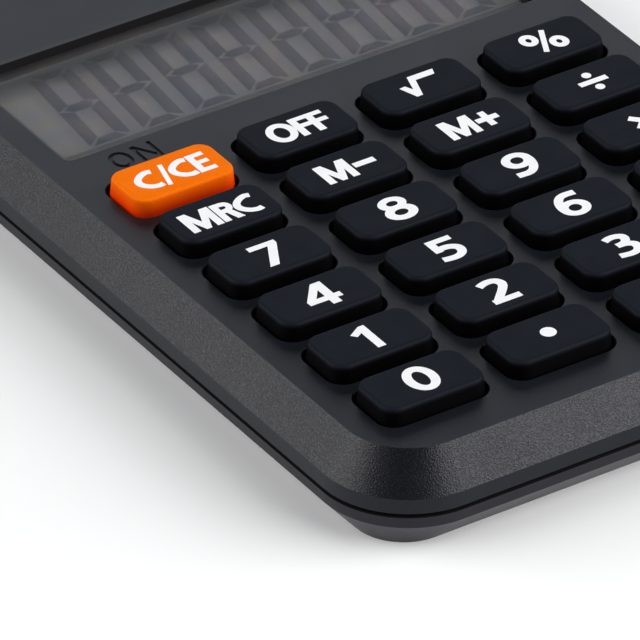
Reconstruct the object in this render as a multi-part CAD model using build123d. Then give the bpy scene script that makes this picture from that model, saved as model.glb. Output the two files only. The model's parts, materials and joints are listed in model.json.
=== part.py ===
"""Pocket calculator, 98 x 62 x 11 mm, as an assembly of its separate pieces.

Frame: millimetres, +Z out of the keypad, +Y towards the display, +X to the right.
The origin is on the table, under the middle of the body.
"""

import os
from math import atan
from math import degrees

from build123d import *

# Body outline, measured at its widest line, where the two shells meet.
BODY_WIDTH = 62.0
BODY_LENGTH = 98.0

# Heights of the outer profile, from the table up.
UNDERSIDE_Z = 0.0
BAND_LOW_Z = 2.70
LOWER_RIM_Z = 3.80
UPPER_RIM_Z = 4.22
LIP_TOP_Z = 5.60
FACE_Z = 9.45
KEY_TOP_Z = 11.0

# How far the outline lies inside the widest line at those heights.
BAND_INSET = 0.10
UNDERSIDE_INSET = 2.40
LIP_INSET = 0.15
CREASE_INSET = 2.45
CREASE_RADIUS = 6.3
UNDERSIDE_RADIUS = 5.0

# Walls of the two shells.
WALL = 1.5
FACE_THICKNESS = 1.1
FLOOR_THICKNESS = 1.2
TONGUE_TOP_Z = 5.10
TONGUE_THICKNESS = 0.8
TONGUE_GAP = 0.15

# Keys: a grid of four columns and six rows.
COLUMN_PITCH = 13.4
ROW_PITCH = 8.02
FIRST_ROW_Y = 1.1
KEY_WIDTH = 10.8
KEY_LENGTH = 6.1
KEY_RADIUS = 1.6
KEY_DRAFT = 0.097
KEY_TOP_FILLET = 0.4
KEY_ROOF = 1.1
KEY_WALL = 0.9
KEY_TRAVEL = 0.8
HOLE_WIDTH = 11.35
HOLE_LENGTH = 6.8
HOLE_RADIUS = 1.75
HOLE_CHAMFER = 0.1
FLANGE_OVERHANG = 0.6
FLANGE_THICKNESS = 0.75
FLANGE_CLEARANCE = 0.1
PLUNGER_RADIUS = 1.5
PLUNGER_BOTTOM_Z = 7.40

KEY_ROWS = [
    ["key_clear", "key_off", "key_square_root", "key_percent"],
    ["key_memory_recall", "key_memory_minus", "key_memory_plus", "key_divide"],
    ["key_7", "key_8", "key_9", "key_multiply"],
    ["key_4", "key_5", "key_6", "key_minus"],
    ["key_1", "key_2", "key_3", "key_plus"],
    ["key_0", "key_point", "key_equals"],
]
TALL_KEY = "key_plus"

# Display and solar windows in the face: middle and size.
DISPLAY_MIDDLE = (0.0, 18.525)
DISPLAY_SIZE = (51.3, 17.3)
WINDOW_RADIUS = 0.6
WINDOW_CHAMFER = 0.3
SOLAR_MIDDLE = (10.5, 38.7)
SOLAR_SIZE = (30.0, 9.0)
LENS_OVERLAP = 0.8
LENS_THICKNESS = 0.9

# Liquid crystal display, from the lens down.
GLASS_THICKNESS = 0.7
GLASS_HALF_WIDTH = 27.0
FRONT_GLASS_Y = (7.7, 29.4)
REAR_GLASS_Y = (9.7, 29.4)
REFLECTOR_THICKNESS = 0.1
ZEBRA_Y = (7.9, 9.5)
ZEBRA_HALF_WIDTH = 23.0

# Circuit board and rubber key mat.
BOARD_TOP_Z = 5.15
BOARD_THICKNESS = 1.0
BOARD_HALF_WIDTH = 26.8
BOARD_Y = (-42.4, 11.0)
MAT_THICKNESS = 0.5
MAT_HALF_WIDTH = 26.4
MAT_Y = (-42.2, 4.5)
DOME_FOOT_RADIUS = 2.3
DOME_HEAD_RADIUS = 1.6
DOME_TOP_Z = 7.30
DOME_ROOF_Z = 6.50
PILL_RADIUS = 1.1
PILL_THICKNESS = 0.4

# Fasteners.
CASE_SCREWS = [(-24.5, 31.4), (24.5, 31.4), (-13.4, -44.2), (13.4, -44.2)]
CASE_SCREW_SHANK_RADIUS = 0.8
CASE_SCREW_HEAD_RADIUS = 1.5
CASE_SCREW_SEAT_Z = 1.5
CASE_SCREW_HEAD_HEIGHT = 0.9
CASE_SCREW_TIP_Z = 6.6
CASE_BOSS_RADIUS = 1.5
CASE_BOSS_FOOT_Z = 3.0
CASE_POST_RADIUS = 2.3
CASE_RECESS_RADIUS = 1.75
BOARD_SCREWS = [(-24.0, 6.0), (0.0, 6.0), (24.0, 6.0)]
BOARD_SCREW_SHANK_RADIUS = 0.6
BOARD_SCREW_HEAD_RADIUS = 1.25
BOARD_SCREW_HEAD_HEIGHT = 0.6
BOARD_SCREW_TIP_Z = 7.4
BOARD_BOSS_RADIUS = 1.25
THREAD_CLEARANCE = 0.02
STAKE_RADIUS = 0.5
STAKE_HEAD_RADIUS = 0.95
STAKE_HOLE_RADIUS = 0.6
STAKE_ROWS = (0, 3)
BOARD_POSTS = [(-18.0, -8.0), (18.0, -8.0), (-18.0, -28.0), (18.0, -28.0), (0.0, -36.0)]
BOARD_POST_RADIUS = 1.1

# Button cell, lying under the display.
CELL_MIDDLE = (16.0, 19.3)
CELL_RADIUS = 5.8
CELL_LOW_Z = 1.60
CELL_THICKNESS = 3.05
CELL_RING_INNER = 6.0
CELL_RING_OUTER = 6.8
CELL_RING_TOP_Z = 4.0
CONTACT_THICKNESS = 0.25

# Foam pads that press the display and the solar cell against their lenses.
FOAM_WIDTH = 1.2
DISPLAY_RIB_Y = 27.4
DISPLAY_RIB_TOP_Z = 4.6
DISPLAY_RIB_SPANS = [(-22.0, -6.0), (2.5, 22.0)]
SOLAR_RIB_TOP_Z = 5.2
RIB_THICKNESS = 1.0
SOLAR_CELL_MARGIN = 0.4
SOLAR_CELL_THICKNESS = 1.0

LEAD_RADIUS = 0.4
LEAD_BEND = 0.9

# Derived heights.
FACE_UNDERSIDE_Z = FACE_Z - FACE_THICKNESS
LENS_LOW_Z = FACE_UNDERSIDE_Z - LENS_THICKNESS
FRONT_GLASS_LOW_Z = LENS_LOW_Z - GLASS_THICKNESS
REAR_GLASS_LOW_Z = FRONT_GLASS_LOW_Z - GLASS_THICKNESS
REFLECTOR_LOW_Z = REAR_GLASS_LOW_Z - REFLECTOR_THICKNESS
FLANGE_TOP_Z = FACE_UNDERSIDE_Z - FLANGE_CLEARANCE
FLANGE_LOW_Z = FLANGE_TOP_Z - FLANGE_THICKNESS
BOARD_LOW_Z = BOARD_TOP_Z - BOARD_THICKNESS
MAT_TOP_Z = BOARD_TOP_Z + MAT_THICKNESS
FLOOR_Z = UNDERSIDE_Z + FLOOR_THICKNESS
SOLAR_CELL_LOW_Z = LENS_LOW_Z - SOLAR_CELL_THICKNESS


def column_x(column):
    """X of the middle of a key column, counted from the left."""
    return (column - 1.5) * COLUMN_PITCH


def row_y(row):
    """Y of the middle of a key row, counted from the display."""
    return FIRST_ROW_Y - row * ROW_PITCH


def key_places():
    """Name, middle and extra length of every key."""
    places = []
    for row, names in enumerate(KEY_ROWS):
        for column, name in enumerate(names):
            extra = ROW_PITCH if name == TALL_KEY else 0.0
            places.append((name, column_x(column), row_y(row) - extra / 2, extra))
    return places


def tapered_slab(width, length, radius, z_start, z_end, inset=0.0, middle=(0.0, 0.0)):
    """Rounded slab from z_start to z_end, its outline pulled in by inset at z_end."""
    height = abs(z_end - z_start)
    outline = Pos(middle[0], middle[1], z_start) * RectangleRounded(width, length, radius)
    way = (0, 0, 1) if z_end > z_start else (0, 0, -1)
    return extrude(outline, amount=height, dir=way, taper=degrees(atan(inset / height)))


def body_slab(inset, z_start, z_end, inset_end=None):
    """Slab whose outline follows the body, inset from its widest line."""
    shrink = 0.0 if inset_end is None else inset_end - inset
    return tapered_slab(
        BODY_WIDTH - 2 * inset,
        BODY_LENGTH - 2 * inset,
        CREASE_RADIUS + CREASE_INSET - inset,
        z_start,
        z_end,
        shrink,
    )


def body_outline(inset, radius, z):
    """Flat outline of the body at one height."""
    width = BODY_WIDTH - 2 * inset
    length = BODY_LENGTH - 2 * inset
    return Pos(0, 0, z) * RectangleRounded(width, length, radius)


def box_between(low, high):
    """Box between two opposite corners."""
    size = [b - a for a, b in zip(low, high)]
    return Pos(*low) * Box(*size, align=(Align.MIN, Align.MIN, Align.MIN))


def rod(x, y, z_low, z_high, radius):
    """Upright cylinder."""
    height = z_high - z_low
    return Pos(x, y, z_low) * Cylinder(
        radius, height, align=(Align.CENTER, Align.CENTER, Align.MIN)
    )


def key_opening(x, y, extra):
    """Cutter for one key hole in the face, with a small chamfer at the top edge."""
    middle = (x, y)
    hole = tapered_slab(
        HOLE_WIDTH,
        HOLE_LENGTH + extra,
        HOLE_RADIUS,
        FACE_UNDERSIDE_Z - 0.5,
        FACE_Z + 0.5,
        middle=middle,
    )
    edge = tapered_slab(
        HOLE_WIDTH + 2 * HOLE_CHAMFER,
        HOLE_LENGTH + extra + 2 * HOLE_CHAMFER,
        HOLE_RADIUS + HOLE_CHAMFER,
        FACE_Z,
        FACE_Z - HOLE_CHAMFER,
        HOLE_CHAMFER,
        middle,
    )
    return hole + edge


def window_opening(middle, size):
    """Cutter for a window in the face, with a narrow sloping rim."""
    hole = tapered_slab(
        size[0],
        size[1],
        WINDOW_RADIUS,
        FACE_UNDERSIDE_Z - 0.5,
        FACE_Z + 0.5,
        middle=middle,
    )
    rim = tapered_slab(
        size[0] + 2 * WINDOW_CHAMFER,
        size[1] + 2 * WINDOW_CHAMFER,
        WINDOW_RADIUS + WINDOW_CHAMFER,
        FACE_Z,
        FACE_Z - WINDOW_CHAMFER / 2,
        WINDOW_CHAMFER,
        middle,
    )
    return hole + rim


def engraved_on(depth=0.15):
    """The shallow letters O and N in the face above the clear key."""
    height = 2.7
    stroke = 0.42
    left = column_x(0) - 2.6
    low = FIRST_ROW_Y + 4.85
    width = 2.2
    letter_o = Pos(left + width / 2, low + height / 2) * (
        Ellipse(width / 2, height / 2) - Ellipse(width / 2 - stroke, height / 2 - stroke)
    )
    x0 = left + width + 0.5
    x1 = x0 + width
    bars = Pos(x0 + stroke / 2, low + height / 2) * Rectangle(stroke, height)
    bars += Pos(x1 - stroke / 2, low + height / 2) * Rectangle(stroke, height)
    slant = stroke * 1.15
    diagonal = Polyline(
        (x0, low + height),
        (x0 + slant, low + height),
        (x1, low),
        (x1 - slant, low),
        close=True,
    )
    letter_n = bars + make_face(diagonal)
    return extrude(Pos(0, 0, FACE_Z - depth) * (letter_o + letter_n), amount=2 * depth)


def make_upper_case():
    """Top shell with its key holes, windows, screw bosses and heat stakes."""
    shell = body_slab(0.0, UPPER_RIM_Z, LIP_TOP_Z, LIP_INSET)
    shell += body_slab(LIP_INSET, LIP_TOP_Z, FACE_Z, CREASE_INSET)
    bevel_slope = (CREASE_INSET - LIP_INSET) / (FACE_Z - LIP_TOP_Z)
    inside = LIP_INSET + WALL
    inside_top = inside + bevel_slope * (FACE_UNDERSIDE_Z - LIP_TOP_Z)
    shell -= body_slab(inside, UPPER_RIM_Z - 1.0, LIP_TOP_Z)
    shell -= body_slab(inside, LIP_TOP_Z, FACE_UNDERSIDE_Z, inside_top)
    for x, y in CASE_SCREWS:
        shell += rod(x, y, CASE_BOSS_FOOT_Z, FACE_UNDERSIDE_Z, CASE_BOSS_RADIUS)
        pilot = CASE_SCREW_SHANK_RADIUS + THREAD_CLEARANCE
        shell -= rod(x, y, CASE_BOSS_FOOT_Z - 0.5, CASE_SCREW_TIP_Z + 0.5, pilot)
    for x, y in BOARD_SCREWS:
        shell += rod(x, y, BOARD_TOP_Z, FACE_UNDERSIDE_Z, BOARD_BOSS_RADIUS)
        pilot = BOARD_SCREW_SHANK_RADIUS + THREAD_CLEARANCE
        shell -= rod(x, y, BOARD_TOP_Z - 0.5, BOARD_SCREW_TIP_Z + 0.4, pilot)
    for x, y in stake_places():
        shell += rod(x, y, BOARD_LOW_Z, FACE_UNDERSIDE_Z, STAKE_RADIUS)
        head_low = BOARD_LOW_Z - 0.45
        shell += rod(x, y, head_low, BOARD_LOW_Z, STAKE_HEAD_RADIUS)
    for _, x, y, extra in key_places():
        shell -= key_opening(x, y, extra)
    shell -= window_opening(DISPLAY_MIDDLE, DISPLAY_SIZE)
    shell -= window_opening(SOLAR_MIDDLE, SOLAR_SIZE)
    shell -= engraved_on()
    return shell


def stake_places():
    """Middles of the heat stakes, which stand where four keys meet."""
    places = []
    for row in STAKE_ROWS:
        for column in (0, 2):
            x = column_x(column) + COLUMN_PITCH / 2
            places.append((x, row_y(row) - ROW_PITCH / 2))
    return places


def make_lower_case():
    """Bottom shell with its locating tongue, posts, cell holder and ribs."""
    shell = body_slab(0.0, LOWER_RIM_Z, BAND_LOW_Z, BAND_INSET)
    band_radius = CREASE_RADIUS + CREASE_INSET - BAND_INSET
    band_foot = body_outline(BAND_INSET, band_radius, BAND_LOW_Z)
    underside = body_outline(UNDERSIDE_INSET, UNDERSIDE_RADIUS, UNDERSIDE_Z)
    shell += loft([underside, band_foot], ruled=True)
    tongue_inset = LIP_INSET + WALL + TONGUE_GAP
    shell += body_slab(tongue_inset, LOWER_RIM_Z, TONGUE_TOP_Z)
    shell -= body_slab(tongue_inset + TONGUE_THICKNESS, FLOOR_Z, TONGUE_TOP_Z + 1.0)
    for x, y in CASE_SCREWS:
        shell += rod(x, y, FLOOR_Z - 0.2, CASE_BOSS_FOOT_Z, CASE_POST_RADIUS)
    for x, y in BOARD_POSTS:
        shell += rod(x, y, FLOOR_Z - 0.2, BOARD_LOW_Z, BOARD_POST_RADIUS)
    shell += cell_ring()
    for rib in display_ribs():
        shell += rib
    shell += solar_rib()
    for x, y in CASE_SCREWS:
        shell -= rod(x, y, -1.0, CASE_SCREW_SEAT_Z, CASE_RECESS_RADIUS)
        shell -= rod(x, y, 0.0, CASE_BOSS_FOOT_Z + 0.5, CASE_SCREW_SHANK_RADIUS + 0.15)
    return shell


def cell_ring():
    """Wall around the button cell, open where the lower contact leaves."""
    x, y = CELL_MIDDLE
    ring = rod(x, y, FLOOR_Z - 0.2, CELL_RING_TOP_Z, CELL_RING_OUTER)
    ring -= rod(x, y, FLOOR_Z - 0.5, CELL_RING_TOP_Z + 0.5, CELL_RING_INNER)
    gap = box_between((x - 1.6, y - CELL_RING_OUTER - 1, 0), (x + 1.6, y, CELL_RING_TOP_Z + 1))
    return ring - gap


def display_ribs():
    """Ribs under the far edge of the display glass, with a gap for the solar leads."""
    half = RIB_THICKNESS / 2
    return [
        box_between(
            (left, DISPLAY_RIB_Y - half, FLOOR_Z - 0.2),
            (right, DISPLAY_RIB_Y + half, DISPLAY_RIB_TOP_Z),
        )
        for left, right in DISPLAY_RIB_SPANS
    ]


def solar_rib():
    """Rib under the middle of the solar cell."""
    x, y = SOLAR_MIDDLE
    half = RIB_THICKNESS / 2
    return box_between(
        (x - 12.0, y - half, FLOOR_Z - 0.2), (x + 12.0, y + half, SOLAR_RIB_TOP_Z)
    )


def make_key(x, y, extra):
    """Hollow key cap with side flanges and a plunger over its rubber dome."""
    rise = KEY_TOP_Z - FLANGE_TOP_Z
    foot_growth = KEY_DRAFT * (FACE_Z - FLANGE_TOP_Z)
    cap = tapered_slab(
        KEY_WIDTH + 2 * foot_growth,
        KEY_LENGTH + extra + 2 * foot_growth,
        KEY_RADIUS + foot_growth,
        FLANGE_TOP_Z,
        KEY_TOP_Z,
        KEY_DRAFT * rise,
        (x, y),
    )
    top_edges = cap.faces().sort_by(Axis.Z)[-1].edges()
    cap = fillet(top_edges, KEY_TOP_FILLET)
    cap += tapered_slab(
        HOLE_WIDTH + 2 * FLANGE_OVERHANG,
        KEY_LENGTH + extra,
        0.6,
        FLANGE_LOW_Z,
        FLANGE_TOP_Z,
        middle=(x, y),
    )
    cap -= tapered_slab(
        KEY_WIDTH - 2 * KEY_WALL,
        KEY_LENGTH + extra - 2 * KEY_WALL,
        0.7,
        FLANGE_LOW_Z - 0.5,
        KEY_TOP_Z - KEY_ROOF,
        middle=(x, y),
    )
    return cap + rod(x, y, PLUNGER_BOTTOM_Z, KEY_TOP_Z - KEY_ROOF, PLUNGER_RADIUS)


def make_key_mat():
    """Rubber sheet with one hollow dome under every key."""
    low_y, high_y = MAT_Y
    mat = tapered_slab(
        2 * MAT_HALF_WIDTH,
        high_y - low_y,
        1.0,
        BOARD_TOP_Z,
        MAT_TOP_Z,
        middle=(0.0, (low_y + high_y) / 2),
    )
    dome_height = DOME_TOP_Z - MAT_TOP_Z
    hollow_height = DOME_ROOF_Z - BOARD_TOP_Z
    up = (Align.CENTER, Align.CENTER, Align.MIN)
    for _, x, y, _ in key_places():
        mat += Pos(x, y, MAT_TOP_Z) * Cone(
            DOME_FOOT_RADIUS, DOME_HEAD_RADIUS, dome_height, align=up
        )
        mat -= Pos(x, y, BOARD_TOP_Z) * Cone(
            DOME_FOOT_RADIUS - 0.3, DOME_HEAD_RADIUS - 0.4, hollow_height, align=up
        )
    for x, y in stake_places():
        mat -= rod(x, y, BOARD_TOP_Z - 1, MAT_TOP_Z + 1, STAKE_HOLE_RADIUS)
    return mat


def make_carbon_pills():
    """One conductive disc inside every dome."""
    z_low = DOME_ROOF_Z - PILL_THICKNESS
    return [rod(x, y, z_low, DOME_ROOF_Z, PILL_RADIUS) for _, x, y, _ in key_places()]


def make_circuit_board():
    """Board with holes for its screws and the heat stakes."""
    low_y, high_y = BOARD_Y
    board = tapered_slab(
        2 * BOARD_HALF_WIDTH,
        high_y - low_y,
        1.5,
        BOARD_LOW_Z,
        BOARD_TOP_Z,
        middle=(0.0, (low_y + high_y) / 2),
    )
    for x, y in BOARD_SCREWS:
        board -= rod(x, y, BOARD_LOW_Z - 1, BOARD_TOP_Z + 1, BOARD_SCREW_SHANK_RADIUS + 0.15)
    for x, y in stake_places():
        board -= rod(x, y, BOARD_LOW_Z - 1, BOARD_TOP_Z + 1, STAKE_HOLE_RADIUS)
    return board


def make_controller():
    """Blob of resin over the chip, on the underside of the board."""
    blob = Pos(0, -16.0, BOARD_LOW_Z - 1.2) * Cone(
        2.6, 4.6, 1.2, align=(Align.CENTER, Align.CENTER, Align.MIN)
    )
    return fillet(blob.faces().sort_by(Axis.Z)[0].edges(), 0.7)


def make_board_capacitors():
    """Three surface-mounted capacitors under the board."""
    places = [(-9.5, -13.0), (-9.5, -17.0), (9.5, -13.0)]
    return [
        box_between((x - 1.6, y - 0.8, BOARD_LOW_Z - 1.2), (x + 1.6, y + 0.8, BOARD_LOW_Z))
        for x, y in places
    ]


def make_board_resistors():
    """Two surface-mounted resistors under the board."""
    places = [(9.5, -16.5), (9.5, -19.5)]
    return [
        box_between((x - 1.0, y - 0.6, BOARD_LOW_Z - 0.5), (x + 1.0, y + 0.6, BOARD_LOW_Z))
        for x, y in places
    ]


def make_lens(middle, size):
    """Clear plate bonded under a window."""
    return tapered_slab(
        size[0] + 2 * LENS_OVERLAP,
        size[1] + 2 * LENS_OVERLAP,
        0.8,
        LENS_LOW_Z,
        FACE_UNDERSIDE_Z,
        middle=middle,
    )


def glass_plate(y_range, z_low, z_high):
    """Plate as wide as the display glass."""
    return box_between(
        (-GLASS_HALF_WIDTH, y_range[0], z_low), (GLASS_HALF_WIDTH, y_range[1], z_high)
    )


def make_zebra_connector():
    """Striped rubber bar between the board and the contact edge of the glass."""
    return box_between(
        (-ZEBRA_HALF_WIDTH, ZEBRA_Y[0], BOARD_TOP_Z),
        (ZEBRA_HALF_WIDTH, ZEBRA_Y[1], FRONT_GLASS_LOW_Z),
    )


def make_display_foam():
    """Foam strips between the display ribs and the reflector."""
    half = FOAM_WIDTH / 2
    return [
        box_between(
            (left, DISPLAY_RIB_Y - half, DISPLAY_RIB_TOP_Z),
            (right, DISPLAY_RIB_Y + half, REFLECTOR_LOW_Z),
        )
        for left, right in DISPLAY_RIB_SPANS
    ]


def make_solar_foam():
    """Foam strip between the solar rib and the solar cell."""
    x, y = SOLAR_MIDDLE
    return box_between(
        (x - 12.0, y - FOAM_WIDTH / 2, SOLAR_RIB_TOP_Z),
        (x + 12.0, y + FOAM_WIDTH / 2, SOLAR_CELL_LOW_Z),
    )


def make_solar_cell():
    """Glass-backed solar cell behind its lens."""
    x, y = SOLAR_MIDDLE
    half_x = SOLAR_SIZE[0] / 2 + SOLAR_CELL_MARGIN
    half_y = SOLAR_SIZE[1] / 2 + SOLAR_CELL_MARGIN
    return box_between(
        (x - half_x, y - half_y, SOLAR_CELL_LOW_Z), (x + half_x, y + half_y, LENS_LOW_Z)
    )


def make_button_cell():
    """Button cell with its stepped negative cap facing down."""
    x, y = CELL_MIDDLE
    step_z = CELL_LOW_Z + 0.5
    cap = rod(x, y, CELL_LOW_Z, step_z, CELL_RADIUS - 1.0)
    can = rod(x, y, step_z, CELL_LOW_Z + CELL_THICKNESS, CELL_RADIUS)
    can = fillet(can.faces().sort_by(Axis.Z)[-1].edges(), 0.3)
    return cap + can


def make_negative_contact():
    """Flat contact under the cell, with a solder tail outside the ring."""
    x, y = CELL_MIDDLE
    top_z = FLOOR_Z + CONTACT_THICKNESS
    tail_y = y - CELL_RING_OUTER - 0.6
    contact = rod(x, y, FLOOR_Z, top_z, 3.6)
    contact += rod(x, y, top_z, CELL_LOW_Z, 1.2)
    contact += box_between((x - 1.1, tail_y, FLOOR_Z), (x + 1.1, y, top_z))
    contact += box_between(
        (x - 1.1, tail_y - CONTACT_THICKNESS, FLOOR_Z), (x + 1.1, tail_y, FLOOR_Z + 1.8)
    )
    return contact


def make_positive_contact():
    """Spring arm over the cell, standing on a leg outside the ring."""
    x, y = CELL_MIDDLE
    arm_z = CELL_LOW_Z + CELL_THICKNESS
    leg_x = x + CELL_RING_OUTER + 1.2
    arm = box_between(
        (x - 1.5, y - 1.5, arm_z), (leg_x, y + 1.5, arm_z + CONTACT_THICKNESS)
    )
    leg = box_between(
        (leg_x - CONTACT_THICKNESS, y - 1.5, FLOOR_Z), (leg_x, y + 1.5, arm_z)
    )
    foot = box_between(
        (leg_x - CONTACT_THICKNESS, y - 1.5, FLOOR_Z),
        (leg_x + 1.6, y + 1.5, FLOOR_Z + CONTACT_THICKNESS),
    )
    return arm + leg + foot


def make_lead(points):
    """Insulated wire along straight runs joined by arcs."""
    path = FilletPolyline(*points, radius=LEAD_BEND)
    start = Plane(origin=path @ 0, z_dir=path % 0)
    return sweep(start * Circle(LEAD_RADIUS), path=path)


def make_leads():
    """The four wires, each with its route from its source to the board."""
    cell_x, cell_y = CELL_MIDDLE
    run_z = FLOOR_Z + LEAD_RADIUS + 0.9
    board_y = BOARD_Y[1] - 2.0
    tail_y = cell_y - CELL_RING_OUTER - 0.6 - CONTACT_THICKNESS - LEAD_RADIUS
    foot_x = cell_x + CELL_RING_OUTER + 1.2 + 0.8
    foot_z = FLOOR_Z + CONTACT_THICKNESS
    solar_x, solar_y = SOLAR_MIDDLE
    left_x = solar_x - SOLAR_SIZE[0] / 2 + 1.4
    leads = {
        "battery_lead_negative": [
            (cell_x, tail_y, foot_z),
            (cell_x, tail_y, run_z + 0.2),
            (cell_x - 3.5, board_y + 0.6, run_z + 0.2),
            (cell_x - 3.5, board_y + 0.6, BOARD_LOW_Z),
        ],
        "battery_lead_positive": [
            (foot_x, cell_y, foot_z),
            (foot_x, cell_y, run_z),
            (foot_x, board_y, run_z),
            (foot_x, board_y, BOARD_LOW_Z),
        ],
    }
    for name, shift in (("solar_lead_negative", 0.0), ("solar_lead_positive", 2.2)):
        leads[name] = [
            (left_x + shift, solar_y - 3.0, SOLAR_CELL_LOW_Z),
            (left_x + shift, solar_y - 3.0, run_z),
            (left_x + shift, board_y, run_z),
            (left_x + shift, board_y, BOARD_LOW_Z),
        ]
    return {name: make_lead(points) for name, points in leads.items()}


def make_screw(x, y, seat_z, tip_z, shank_radius, head_radius, head_height):
    """Cross-head screw pointing up, with its head under seat_z."""
    head_low = seat_z - head_height
    head = rod(x, y, head_low, seat_z, head_radius)
    head = fillet(head.faces().sort_by(Axis.Z)[0].edges(), head_height * 0.4)
    screw = head + rod(x, y, seat_z, tip_z, shank_radius)
    slot = head_radius * 0.6
    depth = head_height * 0.55
    for half_x, half_y in ((slot, 0.18), (0.18, slot)):
        screw -= box_between(
            (x - half_x, y - half_y, head_low - 1), (x + half_x, y + half_y, head_low + depth)
        )
    return screw


def make_case_screws():
    """Screws that close the two shells, driven from the back."""
    return [
        make_screw(
            x,
            y,
            CASE_SCREW_SEAT_Z,
            CASE_SCREW_TIP_Z,
            CASE_SCREW_SHANK_RADIUS,
            CASE_SCREW_HEAD_RADIUS,
            CASE_SCREW_HEAD_HEIGHT,
        )
        for x, y in CASE_SCREWS
    ]


def make_board_screws():
    """Screws that hold the board to the top shell."""
    return [
        make_screw(
            x,
            y,
            BOARD_LOW_Z,
            BOARD_SCREW_TIP_Z,
            BOARD_SCREW_SHANK_RADIUS,
            BOARD_SCREW_HEAD_RADIUS,
            BOARD_SCREW_HEAD_HEIGHT,
        )
        for x, y in BOARD_SCREWS
    ]


def make_parts():
    """Every node of the calculator, by name."""
    parts = {
        "upper_case": make_upper_case(),
        "lower_case": make_lower_case(),
        "key_mat": make_key_mat(),
        "carbon_pills": make_carbon_pills(),
        "circuit_board": make_circuit_board(),
        "controller": make_controller(),
        "board_capacitors": make_board_capacitors(),
        "board_resistors": make_board_resistors(),
        "display_window": make_lens(DISPLAY_MIDDLE, DISPLAY_SIZE),
        "display_front_glass": glass_plate(FRONT_GLASS_Y, FRONT_GLASS_LOW_Z, LENS_LOW_Z),
        "display_rear_glass": glass_plate(REAR_GLASS_Y, REAR_GLASS_LOW_Z, FRONT_GLASS_LOW_Z),
        "display_reflector": glass_plate(REAR_GLASS_Y, REFLECTOR_LOW_Z, REAR_GLASS_LOW_Z),
        "zebra_connector": make_zebra_connector(),
        "display_foam": make_display_foam(),
        "solar_window": make_lens(SOLAR_MIDDLE, SOLAR_SIZE),
        "solar_cell": make_solar_cell(),
        "solar_foam": make_solar_foam(),
        "button_cell": make_button_cell(),
        "battery_contact_negative": make_negative_contact(),
        "battery_contact_positive": make_positive_contact(),
        "case_screws": make_case_screws(),
        "board_screws": make_board_screws(),
    }
    parts.update(make_leads())
    for name, x, y, extra in key_places():
        parts[name] = make_key(x, y, extra)
    return parts


os.makedirs("parts", exist_ok=True)
for node, shape in make_parts().items():
    if isinstance(shape, list):
        shape = Compound(children=shape)
    export_step(shape, f"parts/{node}.step")
    print(node, round(shape.volume, 1))
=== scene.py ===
"""Looks of the pocket calculator: finishes, legends, display pattern, flexible mat, room and camera."""

import json
from math import cos, pi, sin

import bmesh
import bpy
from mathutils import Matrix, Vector
from mathutils.geometry import delaunay_2d_cdt

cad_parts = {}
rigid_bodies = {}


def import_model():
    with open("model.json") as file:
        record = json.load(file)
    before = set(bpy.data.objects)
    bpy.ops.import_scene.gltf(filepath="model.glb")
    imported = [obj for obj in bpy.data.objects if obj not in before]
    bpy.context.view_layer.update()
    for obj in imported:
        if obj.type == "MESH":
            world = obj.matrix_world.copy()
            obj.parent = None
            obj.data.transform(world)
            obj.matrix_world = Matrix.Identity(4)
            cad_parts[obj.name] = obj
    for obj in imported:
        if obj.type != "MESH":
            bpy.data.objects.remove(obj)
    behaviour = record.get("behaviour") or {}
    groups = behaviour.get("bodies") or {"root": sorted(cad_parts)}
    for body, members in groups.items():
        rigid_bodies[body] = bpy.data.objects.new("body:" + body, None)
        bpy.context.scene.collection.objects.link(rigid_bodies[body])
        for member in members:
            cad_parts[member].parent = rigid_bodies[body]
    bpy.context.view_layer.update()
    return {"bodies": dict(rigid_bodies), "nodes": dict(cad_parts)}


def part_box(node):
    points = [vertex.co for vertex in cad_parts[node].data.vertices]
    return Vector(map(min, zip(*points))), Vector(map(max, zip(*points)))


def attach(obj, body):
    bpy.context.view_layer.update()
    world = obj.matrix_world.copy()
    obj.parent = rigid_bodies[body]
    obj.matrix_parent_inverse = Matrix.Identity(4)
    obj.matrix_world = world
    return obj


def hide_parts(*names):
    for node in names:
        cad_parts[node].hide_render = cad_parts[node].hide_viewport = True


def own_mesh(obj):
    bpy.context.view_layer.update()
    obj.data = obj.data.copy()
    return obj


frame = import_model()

MM = 0.001
NODES = frame["nodes"]
KEYS = [name for name in NODES if name in frame["bodies"]]

# Straight pieces in a round shape, and in each span of a soft curve.
ROUND_STEPS = 40
CURVE_STEPS = 8

# All lengths below are in millimetres, and all places are in the shared frame.

# Points closer than this are one point.
SAME_POINT = 0.0001

# The ink of the legends: how far it stands above its key, and how far it reaches in.
INK_THICKNESS = 0.012
INK_DEPTH = 0.05

# Heights on the case: every wall above the first lines a hole or window and gets painted shade, the
# bevel's wear grows between the next two, and the lower case is inside the seam above the last, where it
# gets painted shade.
OPENING_START = 7.5
BEVEL_WEAR = (9.25, 9.45)
SEAM_START = 3.79

# The y that both windows are beyond.
WINDOW_START = 8.0

# Heights on a key: where its rounded top edge begins, and how far up the side's painted shade stays whole.
KEY_EDGE = 10.75
BLACK_SIDE = 10.42
ORANGE_SIDE = 9.45

# Half the width of the line between two solar cells.
CELL_LINE = 0.25

# The pattern of unlit digits: its depth under the top of the front glass, and the sizes of a digit.
PATTERN_DEPTH = 0.10
DIGIT_COUNT = 8
DIGIT_LEFT = -20.3
DIGIT_BOTTOM = 13.9
DIGIT_PITCH = 5.73
DIGIT_WIDTH = 3.1
DIGIT_STROKE = 1.30
DIGIT_HEIGHT = 12.0
DIGIT_SLANT = 0.095
SEGMENT_GAP = 0.06
SEGMENT_RIM = 0.06

# The painted shade on the film, from the window's edges: each is whole at its first y, gone at its
# second, and darkens by its third number. All painted shade ends between the y of FILM_END, under the
# window's far edge.
FILM_SHADES = ((13.85, 14.05, 0.66), (13.00, 15.20, 0.30), (27.00, 24.30, 0.66))
FILM_END = (27.7, 28.1)
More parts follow.
